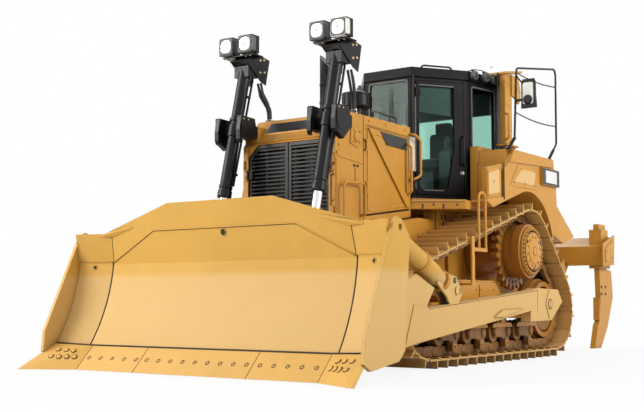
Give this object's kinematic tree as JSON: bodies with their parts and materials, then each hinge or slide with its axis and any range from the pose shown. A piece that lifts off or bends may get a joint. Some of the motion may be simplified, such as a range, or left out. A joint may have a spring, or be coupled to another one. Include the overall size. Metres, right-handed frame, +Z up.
{
  "type": "track-type bulldozer with raised sprockets, semi-U blade and multi-shank ripper",
  "caption": "Large track-type bulldozer with a semi-U blade, raised sprockets, lift cylinders, cab with roll-over frame and a rear ripper.",
  "frame": {"origin": "on the ground under the middle of the machine's bounding box", "axes": "+Z up, -Y towards the blade, +X to the machine's left"},
  "size_m": [3.94, 8.143, 3.6413],
  "materials": {
    "yellow_paint": "satin",
    "black_paint": "semi-gloss",
    "grey_paint": "satin",
    "track_steel": "satin",
    "chrome_rod": "polished",
    "cab_glass": "tinted",
    "rubber": "matt",
    "seat_fabric": "woven",
    "cab_trim": "matt",
    "edge_steel": "satin"
  },
  "bodies": {
    "tractor": {"air_precleaner": "black_paint", "bogies_left": "track_steel", "bogies_right": "track_steel", "cab": "grey_paint", "cab_glass": "cab_glass", "consoles": "cab_trim", "deck": "yellow_paint", "engine_block": "yellow_paint", "equalizer_bar": "yellow_paint", "exhaust_stack": "black_paint", "fender_tank_left": "yellow_paint", "fender_tank_right": "yellow_paint", "final_drive_left": "yellow_paint", "final_drive_right": "yellow_paint", "grab_rails": "yellow_paint", "guard_rail": "black_paint", "hood": "yellow_paint", "idlers_left": "track_steel", "idlers_right": "track_steel", "lift_hoses": "rubber", "lift_yokes": "black_paint", "main_frame": "yellow_paint", "radiator": "black_paint", "radiator_guard": "yellow_paint", "ripper_bracket": "yellow_paint", "rops": "yellow_paint", "seat": "seat_fabric", "sprocket_left": "track_steel", "sprocket_right": "track_steel", "track_frame_left": "yellow_paint", "track_frame_right": "yellow_paint", "track_left": "track_steel", "track_right": "track_steel"},
    "blade": {"moldboard": "yellow_paint", "end_plates": "yellow_paint", "cutting_edge": "edge_steel", "blade_back": "yellow_paint", "push_arm_left": "yellow_paint", "push_arm_right": "yellow_paint", "braces": "yellow_paint"},
    "lift_barrel_left": {"lift_barrel_left": "black_paint", "lamp_bracket_left": "black_paint"},
    "lift_barrel_right": {"lift_barrel_right": "black_paint", "lamp_bracket_right": "black_paint"},
    "lift_rod_left": {"lift_rod_left": "chrome_rod"},
    "lift_rod_right": {"lift_rod_right": "chrome_rod"},
    "cab_door_left": {"cab_door_left": "grey_paint", "door_glass_left": "cab_glass"},
    "cab_door_right": {"cab_door_right": "grey_paint", "door_glass_right": "cab_glass"},
    "grille_door_left": {"grille_door_left": "black_paint"},
    "grille_door_right": {"grille_door_right": "black_paint"},
    "engine_door_left": {"engine_door_left": "yellow_paint"},
    "engine_door_right": {"engine_door_right": "yellow_paint"},
    "ripper_links": {"ripper_links": "yellow_paint"},
    "ripper_beam": {"ripper_beam": "yellow_paint", "ripper_shanks": "yellow_paint"},
    "ripper_uppers": {"ripper_uppers": "yellow_paint"},
    "ripper_barrels": {"ripper_barrels": "yellow_paint"},
    "ripper_rods": {"ripper_rods": "chrome_rod"}
  },
  "joints": [
    {"name": "blade_lift", "type": "hinge", "parent": "tractor", "child": "blade", "pos_m": [0, 0.7715, 0.637], "axis": [-1, 0, 0], "range_deg": [-7, 15.5]},
    {"name": "lift_swing_left", "type": "hinge", "parent": "tractor", "child": "lift_barrel_left", "pos_m": [0.6, -2.4225, 2.45], "axis": [-1, 0, 0], "range_deg": [-3.08, 6.69]},
    {"name": "lift_stroke_left", "type": "slide", "parent": "lift_barrel_left", "child": "lift_rod_left", "axis": [0, -0.2291, -0.9734], "range_m": [-0.9653, 0.4371]},
    {"name": "lift_swing_right", "type": "hinge", "parent": "tractor", "child": "lift_barrel_right", "pos_m": [-0.6, -2.4225, 2.45], "axis": [-1, 0, 0], "range_deg": [-3.08, 6.69]},
    {"name": "lift_stroke_right", "type": "slide", "parent": "lift_barrel_right", "child": "lift_rod_right", "axis": [0, -0.2291, -0.9734], "range_m": [-0.9653, 0.4371]},
    {"name": "cab_door_left_hinge", "type": "hinge", "parent": "tractor", "child": "cab_door_left", "pos_m": [0.3592, -0.28012, 1.87], "axis": [0, 0, -1], "range_deg": [0, 75]},
    {"name": "grille_door_left_hinge", "type": "hinge", "parent": "tractor", "child": "grille_door_left", "pos_m": [0.525, -2.3008, 1.01], "axis": [0, 0, 1], "range_deg": [0, 60]},
    {"name": "engine_door_left_hinge", "type": "hinge", "parent": "tractor", "child": "engine_door_left", "pos_m": [0.6043, -1.7235, 1.6], "axis": [0, 0, -1], "range_deg": [0, 80]},
    {"name": "cab_door_right_hinge", "type": "hinge", "parent": "tractor", "child": "cab_door_right", "pos_m": [-0.3592, -0.28012, 1.87], "axis": [0, 0, 1], "range_deg": [0, 75]},
    {"name": "grille_door_right_hinge", "type": "hinge", "parent": "tractor", "child": "grille_door_right", "pos_m": [-0.525, -2.3008, 1.01], "axis": [0, 0, -1], "range_deg": [0, 60]},
    {"name": "engine_door_right_hinge", "type": "hinge", "parent": "tractor", "child": "engine_door_right", "pos_m": [-0.6043, -1.7235, 1.6], "axis": [0, 0, 1], "range_deg": [0, 80]},
    {"name": "ripper_lift", "type": "hinge", "parent": "tractor", "child": "ripper_links", "pos_m": [0, 2.1515, 0.95], "axis": [1, 0, 0], "range_deg": [-24, 24]},
    {"name": "ripper_level", "type": "hinge", "parent": "ripper_links", "child": "ripper_beam", "pos_m": [0, 3.3915, 1.1], "axis": [1, 0, 0], "range_deg": [-24.1, 24.1]},
    {"name": "ripper_upper_swing", "type": "hinge", "parent": "tractor", "child": "ripper_uppers", "pos_m": [0, 2.1515, 1.55], "axis": [1, 0, 0], "range_deg": [-24.1, 24.1]},
    {"name": "ripper_cylinder_swing", "type": "hinge", "parent": "tractor", "child": "ripper_barrels", "pos_m": [0, 2.1615, 1.88], "axis": [1, 0, 0], "range_deg": [-14.52, 14.52]},
    {"name": "ripper_cylinder_stroke", "type": "slide", "parent": "ripper_barrels", "child": "ripper_rods", "axis": [0, 0.8448, -0.5351], "range_m": [-0.3304, 0.3304]}
  ],
  "couplings": [
    {"joint": "lift_swing_left", "follows": "blade_lift", "ratio": 0.425},
    {"joint": "lift_stroke_left", "follows": "blade_lift", "m_per_rad": -3.561},
    {"joint": "lift_swing_right", "follows": "blade_lift", "ratio": 0.425},
    {"joint": "lift_stroke_right", "follows": "blade_lift", "m_per_rad": -3.561},
    {"joint": "ripper_level", "follows": "ripper_lift", "ratio": -1},
    {"joint": "ripper_upper_swing", "follows": "ripper_lift", "ratio": 1},
    {"joint": "ripper_cylinder_swing", "follows": "ripper_lift", "ratio": 0.601},
    {"joint": "ripper_cylinder_stroke", "follows": "ripper_lift", "m_per_rad": -0.784}
  ]
}
